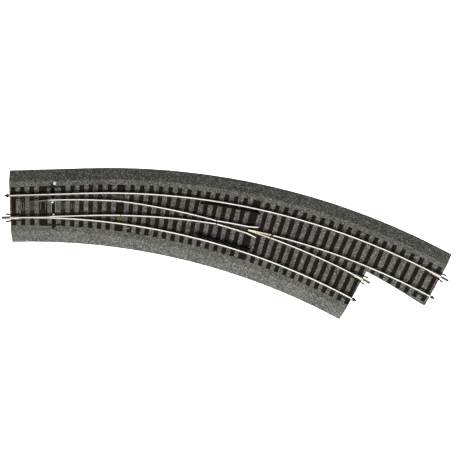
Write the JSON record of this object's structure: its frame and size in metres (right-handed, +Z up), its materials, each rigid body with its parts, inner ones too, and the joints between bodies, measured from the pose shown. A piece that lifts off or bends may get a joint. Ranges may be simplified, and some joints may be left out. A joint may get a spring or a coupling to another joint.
{
  "type": "model turnout switch",
  "caption": "Right-hand curved model railway turnout on a moulded ballast bed, with two pivoted point blades driven by a sliding throwbar, an insulated frog and check rails.",
  "frame": {"origin": "on the track centre line at the toe end, on the underside of the ballast bed", "axes": "+X along the toe tangent towards the frog, +Y to the left of travel, +Z up; both routes curve towards -Y"},
  "size_m": [0.3539, 0.1257, 0.0088],
  "materials": {
    "ballast": "matte, granular",
    "sleeper_plastic": "matte, wood grained",
    "black_plastic": "satin",
    "rail_metal": "polished, nickel silver",
    "olive_metal": "toned, satin",
    "brass": "satin",
    "joiner_metal": "pressed sheet, satin",
    "spring_wire": "drawn wire"
  },
  "bodies": {
    "track": {"ballast_bed": "ballast", "sleeper_frame": "sleeper_plastic", "outer_stock_rail": "rail_metal", "inner_stock_rail": "rail_metal", "curved_closure_rail": "rail_metal", "straight_closure_rail": "rail_metal", "outer_wing_rail": "rail_metal", "inner_wing_rail": "rail_metal", "frog_vee": "rail_metal", "frog_base_plate": "olive_metal", "outer_vee_rail": "rail_metal", "inner_vee_rail": "rail_metal", "outer_check_rail": "black_plastic", "inner_check_rail": "black_plastic", "outer_heel_plate": "olive_metal", "inner_heel_plate": "olive_metal", "toggle_spring": "spring_wire", "toe_rail_joiner": "joiner_metal", "outer_rail_joiner": "joiner_metal", "inner_rail_joiner": "joiner_metal", "outer_jumper": "brass", "inner_jumper": "brass", "frog_feed_tab": "brass", "frog_insulators": "black_plastic"},
    "throwbar_slider": {"throwbar": "black_plastic"},
    "curved_blade_arm": {"curved_blade": "rail_metal", "curved_blade_heel_pin": "brass", "curved_blade_drive_pin": "brass"},
    "straight_blade_arm": {"straight_blade": "rail_metal", "straight_blade_heel_pin": "brass", "straight_blade_drive_pin": "brass"}
  },
  "joints": [
    {"name": "throwbar_slide", "type": "slide", "parent": "track", "child": "throwbar_slider", "axis": [0, 1, 0], "range_m": [0, 0.0033], "deforming": ["toggle_spring"]},
    {"name": "curved_blade_swing", "type": "hinge", "parent": "track", "child": "curved_blade_arm", "pos_m": [0.08701, 0.00179, 0.0066], "axis": [0, 0, 1], "range_deg": [-3.66, 0]},
    {"name": "straight_blade_swing", "type": "hinge", "parent": "track", "child": "straight_blade_arm", "pos_m": [0.0856, -0.00924, 0.0066], "axis": [0, 0, 1], "range_deg": [-3.66, 0]}
  ],
  "couplings": [
    {"joint": "curved_blade_swing", "follows": "throwbar_slide", "rad_per_m": -19.318},
    {"joint": "straight_blade_swing", "follows": "throwbar_slide", "rad_per_m": -19.318}
  ]
}
